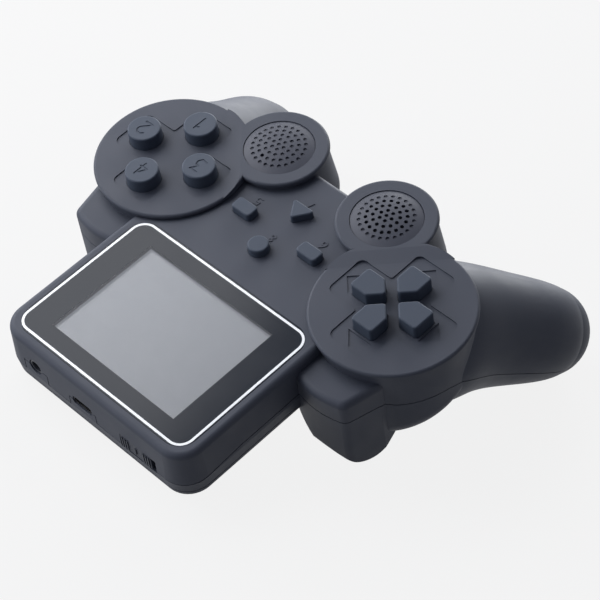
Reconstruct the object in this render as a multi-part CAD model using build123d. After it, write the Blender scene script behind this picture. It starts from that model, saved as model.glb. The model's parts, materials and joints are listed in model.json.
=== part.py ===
from build123d import *
from math import asin, atan2, cos, degrees, hypot, pi, radians, sin
import os

# Handheld game console with a screen at its front edge, two round key fields and two grips.
# It is drawn level, in millimetres: X to the player's right, Y towards the screen edge, Z up,
# with zero at the middle of the display on the deck. The last lines set it down on the table
# on its two grips and two shoulder lobes, with the origin under the middle of its box.

# Walls, fits and seams
wall = 1.8              # casing wall
seam_gap = 0.3          # open line between the front and the rear casing
slide_gap = 0.15        # all round a key or knob in its hole
seat_gap = 0.05         # between pieces that rest on each other
overrun = 3.0           # how far a cutter runs past what it cuts
soft_edge = 0.5         # rounded edge of a cap or a plate

# Display
view_w, view_h = 48.96, 36.72       # lit area, a 4:3 panel 2.4 inches across
lens_w, lens_h = 68.4, 50.0         # clear lens, flush with the deck
lens_corner = 6.0
lens_thick = 1.2
lens_gap = 0.1                      # all round the lens in its pocket
window_share = 1.12                 # opening under the lens, as a share of the lit area
panel_w, panel_h = 60.3, 42.7       # outline of the display panel
panel_thick = 2.6
panel_shift = 3.3                   # its longer border is on the player's right
flex_w, flex_thick = 16.0, 0.3
flex_land = 7.0                     # how far the ribbon lies on the panel and on the board
flex_out = 34.4                     # how far out the ribbon's bend reaches
panel_gap = 0.3                     # round the panel between the casing's ribs
rib_w, rib_thick, rib_tall = 6.0, 1.0, 3.0
rib_places = (-15.0, 20.0)
cushion_w, cushion_h, cushion_y = 38.0, 2.6, 17.6
cushion_x = -3.0

# Screen housing, the block at the front
house_half = 37.2
house_front = 27.8
house_back = -34.0
house_depth = 18.0
house_corner = 7.5
house_edge = 1.8
floor_edge = 1.2
house_flare = 0.7                   # its walls stand out by this much at the seam
trim_depth, trim_tall, trim_deep = 15.7, 0.3, 0.25      # fine line round its foot
trim_end = -12.5

# Middle of the casing
middle_half = 35.5
middle_front = -27.0
middle_back = -69.0
middle_depth = 20.0
middle_edge = 3.0

# Round key fields and the round pods behind them
field_x, field_y = 43.98, -45.73
field_r = 23.6
field_rise = 1.6
pod_x, pod_y = 21.46, -67.4
pod_r = 14.8
pod_rise = 2.6
plate_thick = 1.2
plate_lip = 0.9                     # overhang of the plates past the casing below
rim_round = 0.8
ramp_head, ramp_foot = 1.0, 5.6      # where the pod's disc starts to fall and meets the field, from their line
field_keel = 33.0                   # depth of the wing under a key field, at its front
field_heel = 12.0                   # and at its back, where the grip takes over
field_bilge = 5.5                   # rounding of its lower edge
pod_depth = 20.0
pod_foot_r = 16.9                   # the pod widens downwards to this
pod_bilge = 5.0

# Grips: middle and radius of the round section at each station, from the end to the wing
grip_end = (59.19, -89.64, -38.87)
grip_end_r = 13.46
grip_stations = [
    ((56.56, -80.60, -31.73), 15.7),
    ((52.15, -70.83, -24.82), 17.3),
    ((48.63, -60.54, -18.03), 19.3),
    ((47.60, -49.15, -13.40), 19.0),
]
grip_nose_shares = [(0.5, 0.85), (0.85, 0.55)]      # it goes on into the wing by these shares of its radius

# Shoulder lobes: upper block and the tapered lower part
lobe_in, lobe_out = 36.0, 57.2
lobe_front = -13.2
lobe_corner_x, lobe_corner_y = 54.6, -15.0
lobe_inner_y = -14.6
lobe_side_y = -26.0                 # the side leans out as far as here
lobe_back = -40.0
lobe_top = 3.0                      # its top lies this far under the deck
lobe_edge = 2.0
lobe_corner_r = 3.0
# its foot seen from the front, as places along X and depths, and seen from the side, along Y
lobe_foot = [(34.0, 15.0), (37.5, 21.2), (43.0, 26.6), (49.5, 30.4), (58.5, 33.2)]
lobe_sole = [(-12.0, 22.5), (-15.0, 28.2), (-19.0, 31.3), (-23.0, 31.8), (-27.5, 29.4), (-41.0, 25.0)]

# Seam between the casings, as places along Y and depths under the deck: straight runs, then a curve
seam_runs = [
    (40.0, 12.1), (26.0, 12.1), (8.0, 10.7), (-14.5, 10.6), (-25.0, 11.2), (-29.0, 12.2), (-40.0, 12.2),
]
seam_curve = [
    (-43.0, 12.5), (-48.0, 14.6), (-54.5, 18.8), (-65.4, 27.4), (-75.8, 35.0), (-85.1, 42.0),
    (-95.0, 48.0), (-110.0, 53.0),
]
seam_flat = 12.2                    # its depth between the two grips
seam_step_x = 39.5                  # it steps down to the grips here
seam_step_y = -26.0

# Sockets and switch in the front wall
jack_x, jack_depth = 23.0, 8.3      # middle of the sound and picture socket
jack_tab_half = 5.0                 # the rear casing has a tab this wide each way under it
jack_bore_r = 1.8
jack_barrel_r = 2.35
jack_body = (6.4, 11.0, 5.0)
jack_bore_length = 9.5
jack_ear, jack_ear_thick = 1.2, 0.6
usb_x, usb_depth = 3.4, 8.9         # middle of the charging socket
usb_tab_half = 5.6
usb_w, usb_tall, usb_deep = 7.5, 2.5, 5.2
usb_skin = 0.3
usb_round = 0.8
usb_back = 0.9
usb_tongue_w, usb_tongue, usb_tongue_l = 4.2, 0.6, 3.0
port_gap = 0.2                      # all round a socket in its opening
port_inset = 0.3                    # the sockets' mouths lie this far behind the wall's face
knob_w, knob_tall = 12.0, 4.9
knob_travel = 2.0
knob_x, knob_depth = -18.1, 10.5    # middle of the knob with the power off
knob_flange, knob_flange_rise = 2.6, 0.6    # its hidden plate stands out by this much each way
knob_flange_thick = 0.8
knob_rib_w, knob_rib_rise, knob_ribs = 0.45, 0.35, 3
knob_rib_pitch = 1.0
knob_rib_end = 0.8                  # from the knob's end to its first rib
knob_inset = 0.2                    # its face lies this far behind the wall's face
switch_body = (9.0, 4.2, 3.6)
switch_lever = (1.6, 1.6, 1.4)
lever_depth = 8.6
lever_bite = 0.5                    # how far the lever reaches into the knob

# Boards and what is on them
board_top = 10.2                    # depth of the board's upper face
board_meet = -22.0                  # where its wide front part ends
board_thick = 1.2
board_house_half = 31.5
board_middle_half = 30.0
board_gap = 1.4                     # between the board's edge and the casing wall
board_wing_r = 18.0
prop_r = 2.5                        # pillars in the rear casing under the board
chip_side, chip_thick = 14.0, 1.2
chip_y = 4.0
memory_w, memory_h, memory_thick = 12.0, 18.4, 1.1
memory_x = -18.0

# Keys
key_travel = 1.2
key_top = 5.6                       # height of the key tops over the deck
key_flange = 0.9                    # how far a key's hidden flange stands out
key_flange_thick = 1.0
key_ring = 11.73                    # from the middle of a key field to each round key
key_r = 5.0
stem_gap = 0.15                     # left over the dome with a key fully down
stem_r = 2.0
dome_top = 5.5                      # depth of the rubber dome tops
dome_r, dome_foot_r = 2.4, 3.9
dome_wall = 0.7
pad_thick = 1.0
pad_r = 17.4
arrow_tip, arrow_shoulder, arrow_end, arrow_half = 2.2, 6.1, 12.2, 3.85
arrow_round = 1.1
arrow_stem = 8.0                    # from the middle of the field to the stem of an arrow key
cross_arm, cross_half, cross_deep = 18.3, 7.1, 0.3
cross_outer_r, cross_inner_r = 2.2, 0.8
mark_base, mark_apex, mark_half, mark_deep = 13.0, 17.4, 4.2, 0.3
digit_tall, digit_wide, digit_line, digit_deep = 4.6, 2.6, 0.6, 0.2
peg_r, peg_deep, peg_ring = 0.8, 1.1, 20.3
peg_turns = (20.0, 140.0, 290.0)    # degrees round the field, drawn on the player's right

# Small keys on the deck
small_top = 2.5
oblong_x, oblong_y, oblong_w, oblong_h, oblong_round = 13.0, -44.95, 7.3, 4.4, 1.2
wedge_y, wedge_w, wedge_h, wedge_round = -53.2, 8.8, 6.2, 0.8
disc_y, disc_key_r = -37.6, 3.1
small_pad_w, small_pad_h, small_pad_y = 37.0, 25.4, -45.4
label_tall, label_wide, label_line, label_rise = 2.6, 1.6, 0.4, 0.2
label_shift = -5.2                  # the raised number by a small key stands this far along Y

# Speaker and grilles
grille_r = 10.5
grille_gap = 0.12
grille_crown = 1.5                  # how far the middle of a grille stands over its edge
grille_edge = 0.9
grille_thick = 1.0
grille_hole_r = 0.58
grille_pitch = 1.97
grille_rings = 4
sound_opening_r = 7.2
dummy_hole_deep = 0.35
vent_r = 0.6                        # the one open hole in the closed grille
vent_ring, vent_turn = 3, 80.0
speaker_r, speaker_deep, speaker_rim, speaker_magnet_r = 10.0, 4.4, 1.2, 6.2
speaker_cone_r, speaker_cone_deep = 8.2, 1.6
speaker_cap_r = 2.6
speaker_wall, speaker_wall_tall, speaker_gap = 1.0, 2.4, 0.15

# Battery and its door
battery_w, battery_h, battery_thick = 50.0, 34.0, 4.9
battery_y = 3.0
battery_round = 1.2
bay_gap = 0.4
bay_wall = 2.4
bay_top = 11.75                     # depth of the bay walls' upper edge
door_margin = 1.2                   # the door reaches this far past the battery
door_lug = 6.5                      # and this far further at its screwed end
door_thick = 1.6
door_gap = 0.15
door_round = 2.0
lug_shelf = 1.6                     # floor over the door's screwed end
tongue_x, tongue_w, tongue_long, tongue_thick = 14.0, 6.0, 1.1, 0.8
contact_w, contact_pitch, contacts = 2.2, 4.2, 3
contact_drop, contact_run, contact_thick = 3.6, 3.4, 0.25
groove_w, groove_deep, grooves, groove_pitch, groove_long = 0.8, 0.4, 5, 1.8, 14.0

# Screws and the posts that they go into
boss_r = 3.0
screw_r, screw_head_r, screw_head_tall = 1.15, 2.3, 1.5
screw_bite = 6.0                    # length of thread in the front casing
screw_under = 4.0                   # from the seam down to the head's seat
head_gap = 0.35
shank_gap = 0.15
thread_gap = 0.04
pilot_more = 0.6                    # the screw holes are this much deeper than the screws
cross_slot_w, cross_slot_l, cross_slot_deep = 0.5, 2.6, 0.8
screw_places = [(31.8, 22.6), (29.0, -24.5), (7.0, -63.0), (56.0, -77.0)]     # on each side
post_r = 2.2
post_places = [(20.5, -28.0), (-20.5, -28.0), (0, -62.5)]
small_screw_r, small_head_r, small_head_tall, small_bite = 0.85, 1.8, 1.2, 5.0
small_slot_w, small_slot_l, small_slot_deep = 0.4, 2.0, 0.6
door_bite = 3.6
door_web = 0.3                      # door left over its screw's head

tilt_limit, halvings = 45.0, 24      # search for the console's lean on the table

sides = (1, -1)
both = (Align.CENTER, Align.CENTER, Align.MIN)
hung = (Align.CENTER, Align.CENTER, Align.MAX)


def mirrored(solid):
    return solid.mirror(Plane.YZ)


def block(x, y, top, w, h, tall, corner=0):
    # an upright block given by its middle, its top and its size, with rounded corners
    outline = RectangleRounded(w, h, corner) if corner else Rectangle(w, h)
    return Pos(x, y, top - tall) * extrude(outline, tall)


def post(x, y, top, radius, tall):
    return Pos(x, y, top) * Cylinder(radius, tall, align=hung)


def seam_at(x, y):
    # depth of the seam under the deck
    if abs(x) < seam_step_x and y < seam_step_y:
        return seam_flat
    places = seam_runs + seam_curve
    for (y0, d0), (y1, d1) in zip(places, places[1:]):
        if y >= y1:
            return d0 + (d1 - d0) * (y - y0) / (y1 - y0)
    return places[-1][1]


# Casing forms, each drawn on the player's right and smaller all round by an inset

def house(inset):
    # inside, a plain block; outside, widest at the seam
    middle_y = (house_front - inset + house_back) / 2
    width, length = 2 * (house_half - inset), house_front - inset - house_back
    if inset:
        return block(0, middle_y, -inset, width, length, house_depth - 2 * inset, house_corner - inset)
    seam_depth = seam_runs[0][1]
    below = house_depth - seam_depth
    flare = 2 * house_flare
    outline = RectangleRounded(width + flare, length + flare, house_corner + house_flare)
    upper = extrude(outline, seam_depth, taper=degrees(atan2(house_flare, seam_depth)))
    lower = extrude(outline, below, dir=(0, 0, -1), taper=degrees(atan2(house_flare, below)))
    body = Pos(0, middle_y, -seam_depth) * (upper + lower)
    body = fillet(body.edges().group_by(Axis.Z)[-1], house_edge)
    return fillet(body.edges().group_by(Axis.Z)[0], floor_edge)


def front_face(depth):
    # where the front wall's outer face lies along Y at a depth over the seam
    return house_front + house_flare * depth / seam_runs[0][1]


def middle(inset):
    back = middle_back + inset
    length = middle_front - back
    tall = middle_depth - 2 * inset
    body = block(0, (middle_front + back) / 2, -inset, 2 * (middle_half - inset), length, tall)
    if inset == 0:
        rear = body.edges().filter_by(Axis.X).group_by(Axis.Y)[0]
        body = fillet(rear.group_by(Axis.Z)[-1], house_edge)
        rear = body.edges().filter_by(Axis.X).group_by(Axis.Y)[0]
        body = fillet(rear.group_by(Axis.Z)[0], middle_edge)
    return body


def field_top():
    return field_rise - plate_thick


def pod_top():
    return pod_rise - plate_thick


def field_drum(inset):
    # an upright drum whose lower face slopes up towards the grip, with a rounded edge
    top = field_top() - inset
    radius = field_r - plate_lip - inset
    drum = post(field_x, field_y, top, radius, top + field_keel + radius)
    slope = atan2(field_keel - field_heel, 2 * field_r)
    floor_depth = (field_keel + field_heel) / 2 - inset / cos(slope)
    below = block(0, 0, 0, 4 * field_r, 4 * field_r, 2 * field_keel)
    drum -= Pos(field_x, field_y, -floor_depth) * Rot(X=-degrees(slope)) * below
    return fillet(drum.faces().sort_by(Axis.Z)[0].edges(), field_bilge - inset)


def pod_cone(inset):
    top = pod_top() - inset
    tall = top + pod_depth - inset
    cone = Cone(pod_foot_r - inset, pod_r - plate_lip - inset, tall, align=both)
    cone = fillet(cone.edges().group_by(Axis.Z)[0], pod_bilge - inset)
    return Pos(pod_x, pod_y, top - tall) * cone


def grip(inset):
    # a loft through round sections square to the grip's line, closed by a ball that it meets smoothly
    centres = [Vector(*grip_end)] + [Vector(*place) for place, radius in grip_stations]
    radii = [grip_end_r] + [radius for place, radius in grip_stations]
    first = centres[1] - centres[0]
    lean = asin((radii[1] - radii[0]) / first.length)
    start = centres[0] - first.normalized() * (grip_end_r * sin(lean))
    sections = [Plane(start, z_dir=first) * Circle(grip_end_r * cos(lean) - seat_gap - inset)]
    for i in range(1, len(centres)):
        ahead = centres[min(i + 1, len(centres) - 1)] - centres[i - 1]
        square = Plane(centres[i], z_dir=ahead)
        sections.append(square * Circle(radii[i] - inset))
    nose = sections[-1:]
    for forward, across in grip_nose_shares:
        nose.append(square * Pos(0, 0, forward * radii[-1]) * Circle(across * radii[-1] - inset))
    ball = Pos(*grip_end) * Sphere(grip_end_r - inset)
    limb = loft(sections) + loft(nose) + ball
    reach = 2 * house_half
    return limb & post(grip_end[0], grip_end[1], field_top() - inset, reach, reach)


def lobe_outline(inset):
    inner = lobe_in + inset
    corners = [
        (inner, lobe_inner_y - inset), ((inner + lobe_corner_x) / 2, lobe_front - inset),
        (lobe_corner_x - inset, lobe_corner_y - inset), (lobe_out - inset, lobe_side_y),
        (lobe_out - inset, lobe_back), (inner, lobe_back),
    ]
    front = ThreePointArc(*corners[:3])
    rest = Polyline(*corners[2:], corners[0])
    outline = make_face(Curve() + [front, rest])
    outer_corner = outline.vertices().sort_by_distance((corners[2][0], corners[2][1], 0))[0]
    return fillet(outer_corner, lobe_corner_r)


def above_line(plane, places, inset):
    # everything above a smooth line given by places and depths, across the whole console
    line = [(along, inset - depth) for along, depth in places]
    ends = Polyline(line[-1], (line[-1][0], house_depth), (line[0][0], house_depth), line[0])
    return extrude(plane * make_face(Curve() + [Spline(*line), ends]), 2 * house_half, both=True)


def lobe(inset):
    # an upright block, rounded at its top, whose foot slopes down outwards
    deepest = lobe_foot[-1][1]
    body = Pos(0, 0, -deepest) * extrude(lobe_outline(inset), deepest - lobe_top - inset)
    if inset == 0:
        body = fillet(body.edges().group_by(Axis.Z)[-1], lobe_edge)
    return body & above_line(Plane.XZ, lobe_foot, inset) & above_line(Plane.YZ, lobe_sole, inset)


def casing_half(inset):
    wing = grip(inset) + field_drum(inset) + lobe(inset)
    body = wing + (house(inset) + middle(inset)) + pod_cone(inset)
    side = 8 * house_half
    return body & Pos(side / 2) * Box(side, side, side)


def seam_region(shift, upwards):
    # everything above or below the seam lowered by a shift
    runs = [(y, -depth - shift) for y, depth in seam_runs]
    curve = [(y, -depth - shift) for y, depth in seam_curve]
    level = 2 * house_half if upwards else -2 * house_half
    line = [Polyline(*runs, curve[0]), Spline(*curve)]
    ends = Polyline(curve[-1], (curve[-1][0], level), (runs[0][0], level), runs[0])
    wide = extrude(Plane.YZ * make_face(Curve() + line + [ends]), 2 * house_half, both=True)
    step_half = seam_step_x - shift
    long = 2 * house_half
    step = block(0, seam_step_y - long / 2, -seam_flat - shift, 2 * step_half, long, long)
    return wide - step if upwards else wide + step


def beyond_chord(shift):
    # the pod's side of the line where the two discs of a plate meet, from a shift past it
    span = hypot(pod_x - field_x, pod_y - field_y)
    reach = (span**2 + field_r**2 - pod_r**2) / (2 * span)
    turn = degrees(atan2(pod_y - field_y, pod_x - field_x))
    side = 2 * span
    return Pos(field_x, field_y) * Rot(Z=turn) * Pos(reach + shift + side / 2) * Box(side, side, side)


def stroke(points, line):
    pieces = []
    for (x0, y0), (x1, y1) in zip(points, points[1:]):
        slot = SlotCenterToCenter(hypot(x1 - x0, y1 - y0), line)
        pieces.append(Pos((x0 + x1) / 2, (y0 + y1) / 2) * Rot(Z=degrees(atan2(y1 - y0, x1 - x0))) * slot)
    return Sketch() + pieces


digit_shares = {
    1: [(0.25, 0.75), (0.60, 1.0), (0.60, 0.0)],
    2: [(0.0, 0.85), (0.25, 1.0), (0.75, 1.0), (1.0, 0.80), (1.0, 0.60), (0.0, 0.0), (1.0, 0.0)],
    3: [(0.0, 1.0), (1.0, 1.0), (0.45, 0.58), (0.85, 0.50), (1.0, 0.25), (0.70, 0.0), (0.0, 0.05)],
    4: [(0.75, 0.0), (0.75, 1.0), (0.0, 0.30), (1.0, 0.30)],
    5: [(1.0, 1.0), (0.10, 1.0), (0.05, 0.55), (0.70, 0.60), (1.0, 0.35), (0.75, 0.0), (0.0, 0.05)],
    6: [(0.80, 1.0), (0.10, 0.50), (0.0, 0.20), (0.30, 0.0), (0.75, 0.0), (1.0, 0.25), (0.75, 0.50),
        (0.10, 0.50)],
    7: [(0.0, 1.0), (1.0, 1.0), (0.35, 0.0)],
    8: [(0.50, 0.53), (0.10, 0.78), (0.50, 1.0), (0.90, 0.78), (0.50, 0.53), (0.0, 0.25), (0.50, 0.0),
        (1.0, 0.25), (0.50, 0.53)],
}


def digit(number, wide, tall, line):
    points = [(wide * (u - 1 / 2), tall * (v - 1 / 2)) for u, v in digit_shares[number]]
    return stroke(points, line)


# Keys: the places and outlines that the keys, their holes and their rubber domes share

def round_places():
    # the four round keys as their numbers and places
    return [
        (1, field_x, field_y - key_ring), (2, field_x + key_ring, field_y),
        (3, field_x - key_ring, field_y), (4, field_x, field_y + key_ring),
    ]


def arrow_outline():
    near, shoulder, end = (reach - arrow_stem for reach in (arrow_tip, arrow_shoulder, arrow_end))
    corners = [
        (near, 0), (shoulder, arrow_half), (end, arrow_half), (end, -arrow_half), (shoulder, -arrow_half),
    ]
    outline = make_face(Polyline(*corners, corners[0]))
    return fillet(outline.vertices(), arrow_round)


def arrow_place(turn):
    return Pos(-field_x, field_y) * Rot(Z=turn) * Pos(arrow_stem)


def wedge_outline():
    corners = [(-wedge_w / 2, -wedge_h / 2), (wedge_w / 2, -wedge_h / 2), (0, wedge_h / 2)]
    outline = make_face(Polyline(*corners, corners[0]))
    return fillet(outline.vertices(), wedge_round)


arrows = {"right_arrow_key": 0, "up_arrow_key": 90, "left_arrow_key": 180, "down_arrow_key": 270}
small_keys = {
    "right_oblong_key": (oblong_x, oblong_y, RectangleRounded(oblong_w, oblong_h, oblong_round)),
    "left_oblong_key": (-oblong_x, oblong_y, RectangleRounded(oblong_w, oblong_h, oblong_round)),
    "wedge_key": (0, wedge_y, wedge_outline()),
    "round_small_key": (0, disc_y, Circle(disc_key_r)),
}


def key(outline, roof, top):
    # a raised key: cap, hidden flange under the roof, and a stem that ends over its rubber dome
    under = roof + seat_gap + key_flange_thick
    cap = Pos(0, 0, -under) * extrude(outline, top + under)
    cap = fillet(cap.edges().group_by(Axis.Z)[-1], soft_edge)
    flange = Pos(0, 0, -under) * extrude(offset(outline, key_flange), key_flange_thick)
    foot = dome_top - key_travel - stem_gap
    return cap + flange + post(0, 0, -under, stem_r, foot - under)


def key_hole(outline):
    tall = key_top + dome_top
    return Pos(0, 0, -tall) * extrude(offset(outline, slide_gap), 2 * tall)


def field_holes():
    right = [Pos(x, y) * key_hole(Circle(key_r)) for number, x, y in round_places()]
    left = [arrow_place(turn) * key_hole(arrow_outline()) for turn in arrows.values()]
    return right, left


# Sockets and switch

def rounded_bar(x, depth, w, tall, corner, from_y, to_y):
    # a bar along Y with rounded long edges
    plane = Plane(origin=(x, from_y, -depth), x_dir=(1, 0, 0), z_dir=(0, 1, 0))
    return extrude(plane * RectangleRounded(w, tall, corner), to_y - from_y)


def rod(x, depth, radius, from_y, to_y):
    return extrude(Plane(origin=(x, from_y, -depth), z_dir=(0, 1, 0)) * Circle(radius), to_y - from_y)


def front_openings():
    inside, outside = house_front - wall - overrun, house_front + overrun
    jack = rod(jack_x, jack_depth, jack_barrel_r + port_gap, inside, outside)
    usb_opening_w, usb_opening_tall = usb_w + 2 * port_gap, usb_tall + 2 * port_gap
    usb = rounded_bar(
        usb_x, usb_depth, usb_opening_w, usb_opening_tall, usb_round + port_gap, inside, outside)
    window = Pos(knob_x - knob_travel / 2, house_front - wall / 2, -knob_depth) * Box(
        knob_w + knob_travel + 2 * slide_gap, wall + overrun, knob_tall + 2 * slide_gap)
    return [jack, usb, window]


def tab(x, half, depth, shift):
    # the rear casing's tab below a socket, up to the socket's middle
    tall = seam_runs[0][1] - depth + overrun
    wide = 2 * (half - shift)
    return block(x, house_front - wall / 2, -depth - shift, wide, wall + overrun, tall)


def port_tabs(shift):
    return [tab(jack_x, jack_tab_half, jack_depth, shift), tab(usb_x, usb_tab_half, usb_depth, shift)]


# Casings

def battery_block(margin, top, tall):
    corner = battery_round + margin
    return block(0, battery_y, top, battery_w + 2 * margin, battery_h + 2 * margin, tall, corner)


def door_outline(grow):
    rear = battery_y - battery_h / 2 - door_margin - door_lug
    front = battery_y + battery_h / 2 + door_margin
    outline = RectangleRounded(
        battery_w + 2 * (door_margin + grow), front - rear + 2 * grow, door_round + grow)
    return Pos(0, (front + rear) / 2) * outline


def door_screw_y():
    return battery_y - battery_h / 2 - door_margin - door_lug / 2


def cross_recess():
    arms = Rectangle(2 * cross_arm, 2 * cross_half) + Rectangle(2 * cross_half, 2 * cross_arm)
    corners = arms.vertices().sort_by_distance((0, 0, 0))
    arms = fillet(corners[4:], cross_outer_r)
    arms = fillet(arms.vertices().sort_by_distance((0, 0, 0))[:4], cross_inner_r)
    return Pos(field_x, field_y, field_rise - cross_deep) * extrude(arms, cross_deep + overrun)


def front_casing(half):
    body = half & seam_region(0, True)
    body += mirrored(body)
    body -= port_tabs(0)
    body += [post(x, y, -wall / 2, post_r, board_top - seat_gap - wall / 2) for x, y in post_places]
    body -= [post(x, y, -board_top + small_bite + pilot_more, small_screw_r + thread_gap, board_top)
             for x, y in post_places]
    panel_w_gap, panel_h_gap = panel_w / 2 + panel_gap, panel_h / 2 + panel_gap
    ribs = [block(x, side * (panel_h_gap + rib_thick / 2), -wall / 2, rib_w, rib_thick, rib_tall)
            for x in rib_places for side in sides]
    ring_r = speaker_r + speaker_gap
    wall_ring = post(-pod_x, pod_y, pod_top() - wall / 2, ring_r + speaker_wall, speaker_wall_tall)
    wall_ring -= post(-pod_x, pod_y, overrun, ring_r, 2 * house_half)
    body += ribs + [wall_ring]
    body -= block(panel_shift, 0, -wall, 2 * panel_w_gap, 2 * panel_h_gap, panel_thick + 2 * panel_gap)
    for x, y in screw_places:
        top = -seam_at(x, y) + screw_bite + pilot_more
        body -= [post(side * x, y, top, screw_r + thread_gap, 2 * house_half) for side in sides]
    corner = lens_corner + lens_gap
    body -= block(0, 0, overrun, lens_w + 2 * lens_gap, lens_h + 2 * lens_gap, lens_thick + overrun, corner)
    body -= block(0, 0, overrun, view_w * window_share, view_h * window_share, wall + 2 * overrun)
    right, left = field_holes()
    small = [Pos(x, y) * key_hole(outline) for x, y, outline in small_keys.values()]
    body -= right + left + small + front_openings()
    sound = post(-pod_x, pod_y, pod_rise, sound_opening_r, pod_rise + wall + overrun)
    body -= [sound, Pos(*vent_place()) * Cylinder(vent_r, 2 * (pod_rise + wall))]
    ledge = post(pod_x, pod_y, pod_rise, pod_r, pod_rise - field_top())
    ledge -= beyond_chord(plate_thick + seat_gap)
    pegs = [peg(turn, slide_gap) for turn in peg_turns]
    body -= [ledge, mirrored(ledge)] + pegs + [mirrored(solid) for solid in pegs]
    labels = []
    for number, (x, y, outline) in enumerate(small_keys.values(), start=5):
        face = digit(number, label_wide, label_tall, label_line)
        labels.append(Pos(x, y + label_shift, -wall / 2) * extrude(face, wall / 2 + label_rise))
    return body + labels


def trim_line():
    # the fine line round the foot of the housing, ahead of the lobes
    flare = house_flare * (house_depth - trim_depth) / (house_depth - seam_runs[0][1])
    wide, long = 2 * (house_half + flare - trim_deep), 2 * (house_front + flare - trim_deep)
    band = block(0, trim_end + long / 2, -trim_depth, 2 * wide, long, trim_tall)
    return band - block(0, 0, 0, wide, long, 2 * house_depth, house_corner)


def rear_casing(half, outer):
    prop_top = -board_top - board_thick - seat_gap
    props = [post(x, field_y, prop_top, prop_r, field_keel) for x in (field_x, 0)]
    body = (half & seam_region(seam_gap, False)) + [prop & outer for prop in props]
    body += mirrored(body)
    tabs = Part() + port_tabs(seam_gap)
    body += tabs & house(0) & block(0, house_front, 0, 2 * house_half, 2 * wall, house_depth)
    body -= trim_line()
    bay = battery_block(bay_gap + bay_wall, -bay_top, house_depth - wall - bay_top + wall / 2)
    shelf_h = door_lug + 2 * door_round
    shelf_y = battery_y - battery_h / 2 - door_margin - door_lug / 2
    shelf_w = battery_w + 2 * (bay_gap + bay_wall)
    shelf = block(0, shelf_y, -house_depth + wall + lug_shelf, shelf_w, shelf_h, lug_shelf + wall / 2)
    lug_boss = post(0, door_screw_y(), -bay_top, post_r, house_depth - bay_top - wall / 2)
    body += [bay, shelf, lug_boss]
    body -= battery_block(bay_gap, 0, 2 * house_depth)
    recess = extrude(door_outline(door_gap), house_depth + door_thick + seat_gap)
    body -= Pos(0, 0, -2 * house_depth) * recess
    slot_tall = tongue_thick + 2 * door_gap
    slot_long = 2 * (tongue_long + door_gap)
    front = battery_y + battery_h / 2 + door_margin
    for side in sides:
        body -= block(side * tongue_x, front, -house_depth + door_thick + door_gap,
                      tongue_w + 2 * door_gap, slot_long, slot_tall)
    for x, y in screw_places:
        seat = -seam_at(x, y) - screw_under
        for side in sides:
            body -= post(side * x, y, 0, screw_r + shank_gap, 2 * house_half)
            body -= post(side * x, y, seat, screw_head_r + head_gap, 2 * house_half)
    body -= post(0, door_screw_y(), -house_depth + door_thick + door_bite + pilot_more,
                 small_screw_r + thread_gap, house_depth)
    return body - front_openings()


# Plates and grilles

def peg(turn, grow):
    x, y = field_x + peg_ring * cos(radians(turn)), field_y + peg_ring * sin(radians(turn))
    return post(x, y, field_rise - plate_thick / 2, peg_r + grow, plate_thick / 2 + peg_deep + grow)


def rounded_disc(x, y, top, radius, tall):
    disc = post(x, y, top, radius, tall)
    return fillet(disc.edges().group_by(Axis.Z)[-1], rim_round)


def plate_ramp():
    # the pod's disc falls to the field along this slope
    span = hypot(pod_x - field_x, pod_y - field_y)
    line = (span**2 + field_r**2 - pod_r**2) / (2 * span)
    turn = degrees(atan2(pod_y - field_y, pod_x - field_x))
    floor = field_rise - rim_round
    corners = [
        (line, floor), (line, pod_rise), (line - ramp_head, pod_rise), (line - ramp_foot, field_rise),
        (line - ramp_foot, floor),
    ]
    slope = extrude(Plane.XZ * make_face(Polyline(*corners, corners[0])), 2 * field_r, both=True)
    slope = Pos(field_x, field_y) * Rot(Z=turn) * slope
    return slope & rounded_disc(field_x, field_y, pod_rise, field_r, 2 * pod_rise)


def plate():
    # the disc of the key field and the higher disc of the pod, joined by a riser and a slope
    field = rounded_disc(field_x, field_y, field_rise, field_r, plate_thick - seat_gap)
    field -= beyond_chord(plate_thick)
    pod = rounded_disc(pod_x, pod_y, pod_rise, pod_r, plate_thick - seat_gap) & beyond_chord(0)
    riser_tall = pod_rise - rim_round - field_top() - seat_gap
    riser = post(pod_x, pod_y, pod_rise - rim_round, pod_r - plate_lip, riser_tall)
    riser = (riser & beyond_chord(0)) - beyond_chord(plate_thick)
    pegs = [peg(turn, 0) for turn in peg_turns]
    body = field + pod + riser + plate_ramp() + pegs
    return body - [cross_recess(), post(pod_x, pod_y, overrun, grille_r + grille_gap, 2 * overrun)]


def arrow_mark(turn):
    corners = [(mark_base, mark_half), (mark_apex, 0), (mark_base, -mark_half)]
    outline = make_face(Polyline(*corners, corners[0]))
    floor = field_rise - cross_deep - mark_deep
    return Pos(-field_x, field_y, floor) * Rot(Z=turn) * extrude(outline, mark_deep + overrun)


def grille_ball():
    # radius of the domed face and the height of its middle point
    radius = (grille_r**2 + grille_crown**2) / (2 * grille_crown)
    return radius, pod_top() + seat_gap + grille_edge + grille_crown - radius


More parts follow.
